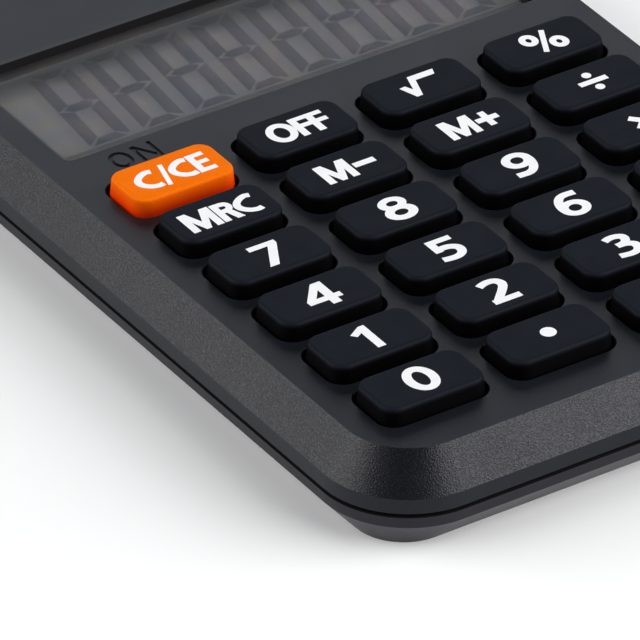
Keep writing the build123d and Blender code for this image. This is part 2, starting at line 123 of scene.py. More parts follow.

# Each dome of the mat: a radius just outside its foot.
DOME_REACH = 2.4

# The floor: where it starts to fade, where it has gone, and half its side.
FLOOR_FADE = (220.0, 400.0)
FLOOR_HALF = 420.0


# ---------------------------------------------------------------- objects


def add_object(name, data):
    """A new object at the origin, in the scene."""
    made = bpy.data.objects.new(name, data)
    bpy.context.scene.collection.objects.link(made)
    return made


def add_mesh(name, shape, materials):
    """A new object from a bmesh, which is used up, with those materials."""
    mesh = bpy.data.meshes.new(name)
    shape.to_mesh(mesh)
    shape.free()
    for material in materials:
        mesh.materials.append(material)
    return add_object(name, mesh)


# ---------------------------------------------------------------- materials


class Finish:
    """One material: a Principled shader and the node chains that feed it."""

    def __init__(self, name, metallic=0.0, specular=0.5):
        self.material = bpy.data.materials.new(name)
        self.material.use_nodes = True
        self.nodes = self.material.node_tree.nodes
        self.links = self.material.node_tree.links
        self.shader = self.nodes["Principled BSDF"]
        self.shader.inputs["Metallic"].default_value = metallic
        self.shader.inputs["Specular IOR Level"].default_value = specular
        self.place = self.nodes.new("ShaderNodeTexCoord").outputs["Object"]

    def feed(self, socket, value):
        """Links value to socket if it is another socket, or sets it."""
        if isinstance(value, bpy.types.NodeSocket):
            self.links.new(value, socket)
        elif isinstance(value, tuple) and len(value) == 3 and socket.type == "RGBA":
            socket.default_value = (*value, 1.0)
        else:
            socket.default_value = value

    def set(self, name, value):
        self.feed(self.shader.inputs[name], value)

    def noise(self, per_mm, detail=2.0, rough=0.5):
        """Cloudy noise from 0 to 1, with about that many grains in a millimetre."""
        node = self.nodes.new("ShaderNodeTexNoise")
        self.links.new(self.place, node.inputs["Vector"])
        node.inputs["Scale"].default_value = per_mm / MM
        node.inputs["Detail"].default_value = detail
        node.inputs["Roughness"].default_value = rough
        return node.outputs["Fac"]

    def calculate(self, operation, first, second=0.0):
        node = self.nodes.new("ShaderNodeMath")
        node.operation = operation
        self.feed(node.inputs[0], first)
        self.feed(node.inputs[1], second)
        return node.outputs[0]

    def span(self, value, low, high, to_low=0.0, to_high=1.0):
        """value stretched so that low becomes to_low and high becomes to_high, and held there."""
        node = self.nodes.new("ShaderNodeMapRange")
        self.feed(node.inputs["Value"], value)
        node.inputs["From Min"].default_value = low
        node.inputs["From Max"].default_value = high
        node.inputs["To Min"].default_value = to_low
        node.inputs["To Max"].default_value = to_high
        return node.outputs["Result"]

    def blend(self, share, first, second):
        """A colour, from first at share 0 to second at share 1."""
        node = self.nodes.new("ShaderNodeMix")
        node.data_type = "RGBA"
        self.feed(node.inputs["Factor"], share)
        self.feed(node.inputs[6], first)
        self.feed(node.inputs[7], second)
        return node.outputs[2]

    def mix_value(self, share, first, second):
        """A number, from first at share 0 to second at share 1."""
        node = self.nodes.new("ShaderNodeMix")
        node.data_type = "FLOAT"
        self.feed(node.inputs["Factor"], share)
        self.feed(node.inputs[2], first)
        self.feed(node.inputs[3], second)
        return node.outputs[0]

    def upward(self):
        """How far the surface faces up: 1 on a top, 0 on a wall."""
        split = self.nodes.new("ShaderNodeSeparateXYZ")
        geometry = self.nodes.new("ShaderNodeNewGeometry")
        self.links.new(geometry.outputs["True Normal"], split.inputs[0])
        return split.outputs["Z"]

    def along(self, axis):
        """The position along that axis of the shared frame, in metres."""
        split = self.nodes.new("ShaderNodeSeparateXYZ")
        self.links.new(self.place, split.inputs[0])
        return split.outputs[axis]

    def bump(self, relief, depth_mm, under=None):
        """A surface normal for relief, a number from 0 to 1 that stands for depth_mm."""
        node = self.nodes.new("ShaderNodeBump")
        node.inputs["Distance"].default_value = depth_mm * MM
        self.feed(node.inputs["Height"], relief)
        if under is not None:
            self.links.new(under, node.inputs["Normal"])
        return node.outputs["Normal"]


def shade(colour, factor):
    return tuple(c * factor for c in colour)


def upper_case_plastic():
    """A fine matte face, a coarse sand bevel, a satin lip, painted shade in the holes and a painted
    highlight round the window.
    """
    f = Finish("upper_case_plastic", specular=0.28)
    f.set("Specular Tint", (0.94, 0.94, 1.0))
    up = f.upward()
    height = f.along("Z")
    face = f.calculate("GREATER_THAN", up, 0.75)
    sand = f.calculate("SUBTRACT", f.calculate("GREATER_THAN", up, 0.3), face)
    raised = f.calculate("GREATER_THAN", height, OPENING_START * MM)
    # Painted shade: walls inside the holes and the window are painted near black.
    shaded_opening = f.calculate("MULTIPLY", f.span(up, 0.3, 0.2), raised)
    # Painted highlight: the rim chamfers round the window, beyond WINDOW_START, get a lighter tone.
    rim = f.calculate("MULTIPLY", f.calculate("LESS_THAN", up, 0.96), face)
    rim = f.calculate("MULTIPLY", rim, f.calculate("GREATER_THAN", f.along("Y"), WINDOW_START * MM))
    coarse = f.noise(7.0, 1.0, 0.5)
    fine = f.noise(9.0, 1.0, 0.5)
    cloud = f.noise(0.12, 3.0, 0.6)
    speckle = f.span(coarse, 0.38, 0.64)
    grain = f.span(fine, 0.3, 0.7)
    face_colour = f.blend(grain, (0.0040, 0.0050, 0.0080), (0.0085, 0.0100, 0.0145))
    # The painted highlight on the window's rim chamfers.
    face_colour = f.blend(rim, face_colour, (0.046, 0.047, 0.051))
    sand_colour = f.blend(speckle, (0.0004, 0.0005, 0.0010), (0.0125, 0.0130, 0.0160))
    lip_colour = f.blend(grain, (0.002, 0.003, 0.005), (0.004, 0.005, 0.008))
    walls = f.blend(sand, lip_colour, sand_colour)
    colour = f.blend(face, walls, face_colour)
    worn = f.calculate("MULTIPLY", sand, f.span(height, BEVEL_WEAR[0] * MM, BEVEL_WEAR[1] * MM))
    worn = f.calculate("MULTIPLY", worn, f.span(cloud, 0.45, 0.7, 0.0, 0.5))
    colour = f.blend(worn, colour, (0.030, 0.031, 0.034))
    # The painted shade of the walls in the holes and the window.
    f.set("Base Color", f.blend(shaded_opening, colour, (0.0012, 0.0012, 0.0016)))
    sand_roughness = f.span(speckle, 0.0, 1.0, 0.44, 0.22)
    rough = f.mix_value(face, f.mix_value(sand, 0.27, sand_roughness), 0.39)
    rough = f.calculate("ADD", rough, f.span(cloud, 0.3, 0.7, -0.04, 0.04))
    f.set("Roughness", f.mix_value(shaded_opening, rough, 0.85))
    sanded = f.bump(f.calculate("MULTIPLY", coarse, sand), 0.040)
    f.set("Normal", f.bump(fine, 0.008, sanded))
    return f.material


def lower_case_plastic():
    """Satin moulded plastic with a very fine texture, a painted floor reflection on the underside, painted
    shade in the seam.
    """
    f = Finish("lower_case_plastic", specular=0.26)
    f.set("Specular Tint", (0.97, 0.94, 1.0))
    fine = f.noise(7.0, 2.0, 0.5)
    cloud = f.noise(0.1, 3.0, 0.6)
    grain = f.span(fine, 0.3, 0.7)
    band = f.blend(grain, (0.006, 0.006, 0.009), (0.010, 0.010, 0.014))
    # Painted reflection: the underside chamfer is painted lighter than the band, for the pale floor it
    # faces.
    under = f.blend(grain, (0.018, 0.016, 0.024), (0.028, 0.025, 0.035))
    colour = f.blend(f.span(f.upward(), -0.15, -0.35), band, under)
    # Painted shade: the lower case inside the seam is painted near black.
    seam = f.calculate("GREATER_THAN", f.along("Z"), SEAM_START * MM)
    f.set("Base Color", f.blend(seam, colour, (0.001, 0.001, 0.001)))
    f.set("Roughness", f.mix_value(seam, f.span(cloud, 0.3, 0.7, 0.32, 0.40), 0.9))
    f.set("Normal", f.bump(fine, 0.012))
    return f.material


def key_plastic(name, top, side, side_height, polish, specular):
    """Fine matte keys, painted shade on the sides up to side_height, a little polished along the edges."""
    f = Finish(name, specular=specular)
    up = f.upward()
    fine = f.noise(8.0, 2.0, 0.55)
    cloud = f.noise(0.35, 3.0, 0.6)
    # Painted shade: the sides take the darker side tone, lightened into the top tone near the top edge as
    # painted light.
    lit_edge = f.span(f.along("Z"), side_height * MM, KEY_EDGE * MM, 0.0, 0.7)
    flat = f.calculate("MAXIMUM", f.span(up, 0.30, 0.55), lit_edge)
    edge = f.calculate("MULTIPLY", f.span(up, 0.2, 0.6), f.span(up, 0.97, 0.8))
    tone = f.blend(f.span(fine, 0.3, 0.7), shade(top, 0.9), shade(top, 1.12))
    tone = f.blend(f.span(cloud, 0.35, 0.7, 0.0, 0.35), tone, shade(top, 0.8))
    colour = f.blend(flat, side, tone)
    worn = f.calculate("MULTIPLY", edge, f.span(cloud, 0.4, 0.7, 0.0, 0.14))
    f.set("Base Color", f.blend(worn, colour, shade(top, 1.5)))
    matte = f.span(cloud, 0.3, 0.7, polish - 0.03, polish + 0.05)
    f.set("Roughness", f.calculate("SUBTRACT", matte, f.calculate("MULTIPLY", edge, 0.08)))
    f.set("Normal", f.bump(fine, 0.007))
    return f.material


def ink(name, colour):
    """Printed ink: faintly mottled, with a fine tooth."""
    f = Finish(name)
    fine = f.noise(6.0, 3.0, 0.6)
    cloud = f.noise(0.8, 2.0, 0.5)
    f.set("Base Color", f.blend(f.span(cloud, 0.3, 0.7), shade(colour, 0.95), colour))
    f.set("Roughness", f.span(fine, 0.3, 0.7, 0.42, 0.56))
    f.set("Normal", f.bump(fine, 0.003))
    return f.material


def moulded(name, low, high, rough, per_mm, depth_mm, metallic):
    """A plain finish between two tones, with a grain of its own."""
    f = Finish(name, metallic)
    grain = f.noise(per_mm, 3.0, 0.6)
    cloud = f.noise(per_mm / 12, 2.0, 0.5)
    f.set("Base Color", f.blend(f.span(grain, 0.3, 0.7), low, high))
    f.set("Roughness", f.span(cloud, 0.3, 0.7, rough - 0.06, rough + 0.06))
    f.set("Normal", f.bump(grain, depth_mm))
    return f.material


def board_laminate():
    """Green solder resist over copper tracks, with bare laminate at the edges."""
    f = Finish("board_laminate")
    bricks = f.nodes.new("ShaderNodeTexBrick")
    f.links.new(f.place, bricks.inputs["Vector"])
    bricks.inputs["Scale"].default_value = 1 / (1.6 * MM)
    bricks.inputs["Mortar Size"].default_value = 0.06
    tracks = f.calculate("SUBTRACT", 1.0, bricks.outputs["Fac"])
    grain = f.noise(4.0, 2.0, 0.5)
    resist = f.blend(f.span(grain, 0.3, 0.7), (0.010, 0.085, 0.030), (0.016, 0.115, 0.042))
    copper = f.blend(tracks, resist, (0.035, 0.190, 0.065))
    edge = f.span(f.upward(), 0.2, 0.1)
    f.set("Base Color", f.blend(edge, copper, (0.42, 0.38, 0.20)))
    f.set("Roughness", f.span(grain, 0.3, 0.7, 0.24, 0.34))
    f.set("Normal", f.bump(tracks, 0.02))
    return f.material


def striped_rubber():
    """Thin dark and pale layers across the connector's length."""
    f = Finish("striped_rubber")
    wave = f.calculate("SINE", f.calculate("MULTIPLY", f.along("X"), 2 * pi / (0.18 * MM)))
    grain = f.noise(5.0, 2.0, 0.5)
    tone = f.blend(f.span(wave, -0.2, 0.2), (0.035, 0.035, 0.036), (0.38, 0.37, 0.36))
    f.set("Base Color", f.blend(f.span(grain, 0.4, 0.8, 0.0, 0.3), tone, (0.2, 0.2, 0.2)))
    f.set("Roughness", f.span(grain, 0.3, 0.7, 0.55, 0.7))
    f.set("Normal", f.bump(grain, 0.01))
    return f.material


def solar_silicon():
    """Four dark cells with pale lines between them, under their own glass."""
    f = Finish("solar_silicon")
    low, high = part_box("solar_cell")
    span = (high.x - low.x) / 4
    across = f.calculate("DIVIDE", f.calculate("SUBTRACT", f.along("X"), low.x), span)
    within = f.calculate("ABSOLUTE", f.calculate("SUBTRACT", f.calculate("FRACT", across), 0.5))
    line = f.calculate("GREATER_THAN", within, 0.5 - CELL_LINE * MM / span)
    cloud = f.noise(0.3, 3.0, 0.6)
    fine = f.noise(6.0, 2.0, 0.5)
    cell = f.blend(f.span(cloud, 0.3, 0.7), (0.020, 0.010, 0.014), (0.036, 0.018, 0.020))
    f.set("Base Color", f.blend(line, cell, (0.30, 0.26, 0.22)))
    f.set("Roughness", f.span(fine, 0.3, 0.7, 0.14, 0.2))
    f.set("Normal", f.bump(fine, 0.001))
    return f.material


def reflector_film():
    """The grey film behind the display, with faint coloured clouds, and painted shade under the window's
    edges.
    """
    f = Finish("reflector_film", specular=0.3)
    warm = f.noise(0.32, 2.0, 0.5)
    fine = f.noise(5.0, 2.0, 0.6)
    grey = f.blend(f.span(warm, 0.40, 0.60), (0.195, 0.190, 0.198), (0.232, 0.208, 0.181))
    grey = f.blend(f.span(fine, 0.3, 0.7, 0.0, 0.25), grey, (0.21, 0.205, 0.205))
    along = f.along("Y")
    # Painted shade from the window's edges, taken off again past the far edge.
    dim = 0.0
    for shaded, clear, amount in FILM_SHADES:
        dim = f.calculate("MAXIMUM", dim, f.span(along, clear * MM, shaded * MM, 0.0, amount))
    dim = f.calculate("MULTIPLY", dim, f.span(along, FILM_END[0] * MM, FILM_END[1] * MM, 1.0, 0.0))
    f.set("Base Color", f.blend(dim, grey, (0.0, 0.0, 0.0)))
    f.set("Roughness", f.span(fine, 0.3, 0.7, 0.5, 0.65))
    f.set("Normal", f.bump(fine, 0.004))
    return f.material


def clear_sheet(name, tint_low, tint_high, per_mm, rough, gloss):
    """A thin clear solid: tinted once by what crosses it, and glossy where it is met from outside."""
    f = Finish(name)
    f.nodes.remove(f.shader)
    tinted = f.nodes.new("ShaderNodeBsdfTransparent")
    clear = f.nodes.new("ShaderNodeBsdfTransparent")
    mirror = f.nodes.new("ShaderNodeBsdfGlossy")
    outside = f.nodes.new("ShaderNodeMixShader")
    either = f.nodes.new("ShaderNodeMixShader")
    cloud = f.noise(per_mm, 2.0, 0.5)
    f.feed(tinted.inputs["Color"], f.blend(f.span(cloud, 0.35, 0.65), tint_low, tint_high))
    f.feed(mirror.inputs["Roughness"], f.span(cloud, 0.3, 0.7, rough, rough + 0.04))
    f.feed(mirror.inputs["Normal"], f.bump(f.noise(2.0, 2.0, 0.5), 0.002))
    fresnel = f.nodes.new("ShaderNodeFresnel")
    fresnel.inputs["IOR"].default_value = 1.49
    geometry = f.nodes.new("ShaderNodeNewGeometry")
    f.feed(outside.inputs[0], f.calculate("MULTIPLY", fresnel.outputs[0], gloss))
    f.links.new(tinted.outputs[0], outside.inputs[1])
    f.links.new(mirror.outputs[0], outside.inputs[2])
    f.links.new(geometry.outputs["Backfacing"], either.inputs[0])
    f.links.new(outside.outputs[0], either.inputs[1])
    f.links.new(clear.outputs[0], either.inputs[2])
    f.links.new(either.outputs[0], f.nodes["Material Output"].inputs["Surface"])
    return f.material


def tinted_print(name, low, high, per_mm):
    """A thin print that only tints what is seen through it."""
    f = Finish(name)
    f.nodes.remove(f.shader)
    tinted = f.nodes.new("ShaderNodeBsdfTransparent")
    cloud = f.noise(per_mm, 2.0, 0.5)
    f.feed(tinted.inputs["Color"], f.blend(f.span(cloud, 0.4, 0.6), low, high))
    f.links.new(tinted.outputs[0], f.nodes["Material Output"].inputs["Surface"])
    return f.material


# ---------------------------------------------------------------- flat shapes


def ellipse(middle, radii):
    """Points round an ellipse. The last is where the first is."""
    points = []
    for i in range(ROUND_STEPS + 1):
        angle = 360 * i / ROUND_STEPS * pi / 180
        points.append((middle[0] + radii[0] * cos(angle), middle[1] + radii[1] * sin(angle)))
    return points


def smooth(points):
    """A soft curve through the points."""
    ends = [points[0], *points, points[-1]]
    curve = []
    for before, a, b, after in zip(ends, ends[1:], ends[2:], ends[3:]):
        for i in range(CURVE_STEPS):
            t = i / CURVE_STEPS
            curve.append(tuple(
                0.5 * (2 * a[k] + (b[k] - before[k]) * t
                       + (2 * before[k] - 5 * a[k] + 4 * b[k] - after[k]) * t * t
                       + (3 * a[k] - before[k] - 3 * b[k] + after[k]) * t * t * t)
                for k in range(2)
            ))
    return [*curve, points[-1]]


def ring(middle, outer, inner):
    """Quads between two ellipses with the same middle."""
    rim = ellipse(middle, outer)
    hole = ellipse(middle, inner)
    return [[hole[i], rim[i], rim[i + 1], hole[i + 1]] for i in range(ROUND_STEPS)]


def disc(middle, radius):
    return [ellipse(middle, (radius, radius))[:-1]]


def bar(left, right, low, high):
    return [[(left, low), (right, low), (right, high), (left, high)]]


def stroke(points, wide, tall=None):
    """Quads along a pen stroke. wide is its width where it runs upright, tall where it lies flat."""
    tall = wide if tall is None else tall
    sides = []
    for i, point in enumerate(points):
        before = Vector(points[max(i - 1, 0)])
        after = Vector(points[min(i + 1, len(points) - 1)])
        along = (after - before).normalized()
        reach = wide / 2 * along.y ** 2 + tall / 2 * along.x ** 2
        across = Vector((-along.y, along.x)) * reach
        sides.append((Vector(point) + across, Vector(point) - across))
    return [
        [tuple(a[0]), tuple(a[1]), tuple(b[1]), tuple(b[0])]
        for a, b in zip(sides, sides[1:])
    ]


def moved(shapes, right, up=0.0):
    return [[(x + right, y + up) for x, y in shape] for shape in shapes]


def turned(shapes, middle):
    """The shapes after half a turn about middle."""
    return [[(2 * middle[0] - x, 2 * middle[1] - y) for x, y in shape] for shape in shapes]


def signed_area(shape):
    pairs = zip(shape, shape[1:] + shape[:1])
    return sum(a[0] * b[1] - b[0] * a[1] for a, b in pairs) / 2


def joined(shapes):
    """Points and triangles of everything that the shapes cover, and how many shapes cover each."""
    points, faces = [], []
    for shape in shapes:
        if signed_area(shape) < 0:
            shape = shape[::-1]
        faces.append(list(range(len(points), len(points) + len(shape))))
        points.extend(Vector(p) for p in shape)
    found, _, triangles, _, _, sources = delaunay_2d_cdt(points, [], faces, 0, SAME_POINT)
    covered = [(t, len(source)) for t, source in zip(triangles, sources) if source]
    return found, covered


def add_walls(shape, bottom):
    """Walls from the rim of a lid down to that height. Their order is the same each run."""
    rims = [edge.link_loops[0] for edge in shape.edges if edge.is_boundary]
    corners = dict.fromkeys(loop.vert for loop in rims)
    lower = {corner: shape.verts.new((corner.co.x, corner.co.y, bottom)) for corner in corners}
    for loop in rims:
        first, second = loop.vert, loop.link_loop_next.vert
        shape.faces.new((second, first, lower[first], lower[second]))


def plate(name, shapes, top, bottom, materials):
    """A mesh piece from flat shapes in millimetres: a lid at height top, with walls down to bottom.

    The first material goes where one shape covers the lid, the next where two do, and so on.
    """
    points, triangles = joined(shapes)
    shape = bmesh.new()
    upper = [shape.verts.new((p.x * MM, p.y * MM, top * MM)) for p in points]
    for corners, count in triangles:
        face = shape.faces.new([upper[i] for i in corners])
        face.material_index = min(count, len(materials)) - 1
    loose = [vertex for vertex in shape.verts if not vertex.link_faces]
    bmesh.ops.delete(shape, geom=loose, context="VERTS")
    if bottom < top:
        add_walls(shape, bottom * MM)
    return add_mesh(name, shape, materials)


# ---------------------------------------------------------------- legends


def letter_c():
    """Its left edge at 0, from 1.43 down to -1.68."""
    spine = [(2.27, 0.98), (1.75, 1.10), (1.10, 0.86), (0.55, 0.40), (0.36, -0.12),
             (0.53, -0.66), (1.05, -1.15), (1.72, -1.36), (2.25, -1.27)]
    return stroke(smooth(spine), 0.72, 0.64)


def letter_m():
    """Its left edge at 0, from 1.45 down to -1.68."""
    return [[(0.0, 1.45), (0.86, 1.45), (1.59, -0.42), (2.32, 1.45), (3.20, 1.45),
             (3.20, -1.68), (2.48, -1.68), (2.48, -0.05), (1.85, -1.68), (1.33, -1.68),
             (0.72, -0.05), (0.72, -1.68), (0.0, -1.68)]]


def letter_e():
    return (bar(0, 0.66, -1.66, 1.43) + bar(0, 1.78, 0.86, 1.43)
            + bar(0, 1.68, -0.34, 0.22) + bar(0, 1.78, -1.66, -1.09))


def letter_f(reach):
    return bar(0, 0.72, -1.58, 1.52) + bar(0, reach, 0.94, 1.52) + bar(0, reach, -0.26, 0.34)


def letter_r():
    bowl = [(0.3, 0.97), (0.95, 0.97), (1.42, 0.85), (1.60, 0.45), (1.42, 0.02), (0.95, -0.12),
            (0.3, -0.12)]
    leg = [[(0.85, -0.25), (1.55, -0.25), (2.08, -1.73), (1.30, -1.73)]]
    return bar(0, 0.66, -1.73, 1.30) + stroke(smooth(bowl), 0.62, 0.62) + leg


def number_2():
    spine = [(-1.12, 1.18), (-0.55, 1.40), (0.05, 1.48), (0.62, 1.33), (0.94, 0.85),
             (0.86, 0.36), (0.45, -0.18), (-0.25, -0.90), (-0.85, -1.50)]
    return stroke(smooth(spine), 0.88, 0.74) + bar(-1.37, 1.48, -1.97, -1.24)


def number_3():
    upper = [(-1.05, 1.25), (-0.45, 1.44), (0.15, 1.42), (0.72, 1.12), (0.72, 0.55),
             (0.25, 0.14), (-0.5, 0.05)]
    lower = [(-0.5, 0.05), (0.35, -0.02), (0.98, -0.42), (1.02, -1.02), (0.60, -1.48),
             (-0.1, -1.62), (-1.2, -1.45)]
    return stroke(smooth(upper), 0.86, 0.72) + stroke(smooth(lower), 0.90, 0.72)


def number_4():
    return (bar(0.2, 1.1, -2.0, 1.73) + bar(-1.7, 1.7, -1.24, -0.55)
            + [[(-1.72, -0.62), (-1.70, -1.0), (-0.72, -0.60), (1.05, 1.73), (0.10, 1.73)]])


def number_5():
    bowl = [(-0.9, 0.10), (-0.2, 0.22), (0.45, 0.12), (0.98, -0.25), (1.10, -0.70),
            (0.92, -1.18), (0.45, -1.50), (-0.2, -1.58), (-1.25, -1.44)]
    return (bar(-1.2, -0.42, -0.28, 1.77) + bar(-1.2, 1.33, 1.10, 1.77)
            + stroke(smooth(bowl), 0.86, 0.74))


def number_9():
    tail = [(1.08, 0.55), (1.08, -0.05), (0.86, -0.82), (0.40, -1.42), (-0.25, -1.68),
            (-1.35, -1.63)]
    return ring((0.0, 0.56), (1.50, 1.27), (0.62, 0.56)) + stroke(smooth(tail), 0.88, 0.76)


def legends():
    """What is printed on each key, in millimetres from the key's middle."""
    slash = stroke([(-0.42, 1.52), (-1.28, -1.80)], 0.46)
    percent_ring = ring((-1.02, 0.83), (0.90, 1.0), (0.26, 0.36))
    percent_bar = stroke([(0.97, 1.75), (-0.68, -1.65)], 0.52)
    root = [[(-2.08, 0.40), (-1.45, 0.46), (-1.08, -0.36), (-0.45, 1.68), (2.35, 1.68),
             (2.05, 0.88), (0.0, 0.88), (-0.83, -1.58), (-1.45, -1.58)]]
    one = [[(-0.12, 1.77), (0.47, 1.77), (0.47, -1.93), (-0.37, -1.93), (-0.37, 0.80),
            (-0.98, 0.42), (-1.42, 0.95)]]
    seven = [[(-1.50, 1.64), (1.40, 1.64), (1.40, 1.08), (-0.25, -2.02), (-1.22, -2.02),
              (0.38, 0.97), (-1.50, 0.97)]]
    plus = bar(-1.15, 1.15, -0.36, 0.36) + bar(-0.34, 0.34, -1.23, 1.23)
    minus = bar(-1.12, 1.12, -0.37, 0.37)
    cross = stroke([(-1.0, -1.0), (1.0, 1.0)], 0.72) + stroke([(-1.0, 1.0), (1.0, -1.0)], 0.72)
    divide = bar(-1.5, 1.5, -0.34, 0.34) + disc((0, 1.12), 0.46) + disc((0, -1.12), 0.46)
    return {
        "key_clear": moved(letter_c(), -3.95) + slash + moved(letter_c(), -0.33)
        + moved(letter_e(), 2.10),
        "key_off": ring((-1.69, -0.02), (1.44, 1.62), (0.70, 0.94))
        + moved(letter_f(1.8), -0.25) + moved(letter_f(1.75), 1.47),
        "key_square_root": root,
        "key_percent": percent_ring + percent_bar + turned(percent_ring, (0.15, 0.05)),
        "key_memory_recall": moved(letter_m(), -3.87, -0.08) + moved(letter_r(), -0.53)
        + moved(letter_c(), 1.35, -0.06),
        "key_memory_minus": moved(letter_m(), -2.76) + moved(minus, 1.81, -0.14),
        "key_memory_plus": moved(letter_m(), -2.80, 0.07) + moved(plus, 1.77, -0.08),
        "key_divide": moved(divide, 0.0, -0.1),
        "key_7": seven,
        "key_8": ring((0.06, 0.74), (1.40, 1.06), (0.57, 0.40))
        + ring((0.05, -0.85), (1.60, 1.22), (0.67, 0.48)),
        "key_9": number_9(),
        "key_multiply": moved(cross, 0.0, -0.1),
        "key_4": number_4(),
        "key_5": number_5(),
        "key_6": turned(number_9(), (0.0, -0.08)),
        "key_minus": moved(bar(-1.35, 1.35, -0.36, 0.36), 0.0, -0.1),
        "key_1": one,
        "key_2": number_2(),
        "key_3": number_3(),
        "key_plus": bar(-1.45, 1.45, -0.37, 0.37) + bar(-0.37, 0.37, -1.45, 1.45),
        "key_0": ring((0.03, 0.0), (1.57, 1.96), (0.67, 1.17)),
        "key_point": disc((0.0, 0.0), 0.75),
        "key_equals": bar(-1.4, 1.4, 0.28, 0.92) + bar(-1.4, 1.4, -1.02, -0.38),
    }


def print_legends(material):
    for key, shapes in legends().items():
        low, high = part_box(key)
        middle = (low + high) / 2 / MM
        top = high.z / MM
        placed = moved(shapes, middle.x, middle.y)
        piece = plate(f"legend_{key}", placed, top + INK_THICKNESS, top - INK_DEPTH, [material])
        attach(piece, key)


# ---------------------------------------------------------------- display


def upright(x, inner, low, high, spread):
    """A side segment, from its low joint to its high one. inner is the side the digit's middle is on."""
    reach = DIGIT_STROKE / 2
    out, into = x - inner * (reach + spread), x + inner * (reach + spread)
    gap = SEGMENT_GAP - spread
    corner = 0.55 * reach
    foot = low - corner if low == 0.0 else low
    top = high + corner if high == DIGIT_HEIGHT else high
    return [(out, foot + gap), (into, low + reach + gap), (into, high - reach - gap), (out, top - gap)]


def level(y, outer, spread):
    """A cross segment. outer is 1 at the top, -1 at the bottom and 0 in the middle."""
    reach = DIGIT_STROKE / 2
    half = (0.9 if outer == 0 else 0.8) * reach + spread
    gap = SEGMENT_GAP - spread
    w = DIGIT_WIDTH
    if outer == 0:
        return [(gap, y), (reach + gap, y - half), (w - reach - gap, y - half), (w - gap, y),
                (w - reach - gap, y + half), (reach + gap, y + half)]
    far, near = y + outer * half, y - outer * half
    corner = 0.35 * reach
    return [(gap - corner, far), (w - gap + corner, far), (w - reach - gap, near), (reach + gap, near)]


def digit(left, bottom, spread):
    """The seven segments of one digit, leaning a little to the right."""
    middle = DIGIT_HEIGHT / 2
    shapes = [
        upright(x, inner, low, low + middle, spread)
        for x, inner in ((0.0, 1), (DIGIT_WIDTH, -1))
        for low in (0.0, middle)
    ]
    shapes += [level(middle + outer * middle, outer, spread) for outer in (-1, 0, 1)]
    return [[(left + x + DIGIT_SLANT * y, bottom + y) for x, y in shape] for shape in shapes]


def print_display():
    """The unlit segments, which the front glass holds, with a soft rim round each."""
    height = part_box("display_front_glass")[1].z / MM - PATTERN_DEPTH
    shapes = []
    for i in range(DIGIT_COUNT):
        for spread in (SEGMENT_RIM, -SEGMENT_RIM):
            shapes += digit(DIGIT_LEFT + i * DIGIT_PITCH, DIGIT_BOTTOM, spread)
    rim = tinted_print("segment_rim", (0.78, 0.80, 0.87), (0.88, 0.84, 0.90), 0.20)
    core = tinted_print("segment_tint", (0.58, 0.62, 0.74), (0.78, 0.70, 0.82), 0.20)
    piece = plate("display_segments", shapes, height, height, [rim, core])
    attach(piece, "body")


# ---------------------------------------------------------------- rubber mat


def inside(item, middle):
    """Whether a face or an edge is all within a dome's reach of middle."""
    return all((vertex.co.xy - middle).length < DOME_REACH * MM for vertex in item.verts)


def close_cut(shape, middle):
    """Joins the two open rims round middle, at the top and bottom of the mat's sheet."""
    rims = [edge for edge in shape.edges if edge.is_boundary and inside(edge, middle)]
    bmesh.ops.bridge_loops(shape, edges=rims)


def rubber_piece(name, shape, joint=None):
    """A piece of the mat. With a joint it is a dome with its pill, on a mesh of its own."""
    bmesh.ops.recalc_face_normals(shape, faces=shape.faces)
    materials = [NODES[node].data.materials[0] for node in ("key_mat", "carbon_pills")]
    piece = add_mesh(name, shape, materials)
    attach(piece, "body")
    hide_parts("key_mat")
    if joint:
        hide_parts("carbon_pills")
        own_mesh(piece)


def flexible_mat():
    """The rubber mat, cut into a sheet and a dome for each key."""
    sheet = bmesh.new()
    sheet.from_mesh(NODES["key_mat"].data)
    bmesh.ops.remove_doubles(sheet, verts=sheet.verts, dist=SAME_POINT * MM)
    for key in KEYS:
        low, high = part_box(key)
        middle = ((low + high) / 2).xy
        dome = bmesh.new()
        dome.from_mesh(NODES["carbon_pills"].data)
        for face in dome.faces:
            face.material_index = 1
        dome.from_mesh(NODES["key_mat"].data)
        bmesh.ops.remove_doubles(dome, verts=dome.verts, dist=SAME_POINT * MM)
        others = [face for face in dome.faces if not inside(face, middle)]
        bmesh.ops.delete(dome, geom=others, context="FACES")
        close_cut(dome, middle)
        rubber_piece(f"dome_{key}", dome, f"{key}_press")
        taken = [face for face in sheet.faces if inside(face, middle)]
        bmesh.ops.delete(sheet, geom=taken, context="FACES")
        close_cut(sheet, middle)
    rubber_piece("mat_sheet", sheet)


# ---------------------------------------------------------------- finishes of the nodes


def dress(names, material):
    """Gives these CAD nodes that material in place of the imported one."""
    for name in names:
        slots = NODES[name].data.materials
        slots.clear()
        slots.append(material)


def dress_case():
    """The shells, the keys and the windows. A key's finish starts with the tone of its top and the painted
    shade of its sides.
    """
    # The second tone in each row is painted shade for the key's sides, darker than its top.
    black = ((0.0080, 0.0100, 0.0145), (0.0004, 0.0004, 0.0009), BLACK_SIDE, 0.60, 0.045)
    orange = ((0.87, 0.160, 0.0003), (0.71, 0.031, 0.0003), ORANGE_SIDE, 0.58, 0.03)
    dress(["upper_case"], upper_case_plastic())
    dress(["lower_case"], lower_case_plastic())
    dress([key for key in KEYS if key != "key_clear"], key_plastic("key_black_plastic", *black))
    dress(["key_clear"], key_plastic("key_orange_plastic", *orange))
    lens = clear_sheet("clear_acrylic", (0.93, 0.94, 0.95), (0.95, 0.96, 0.96), 0.1, 0.06, 0.6)
    dress(["display_window", "solar_window"], lens)


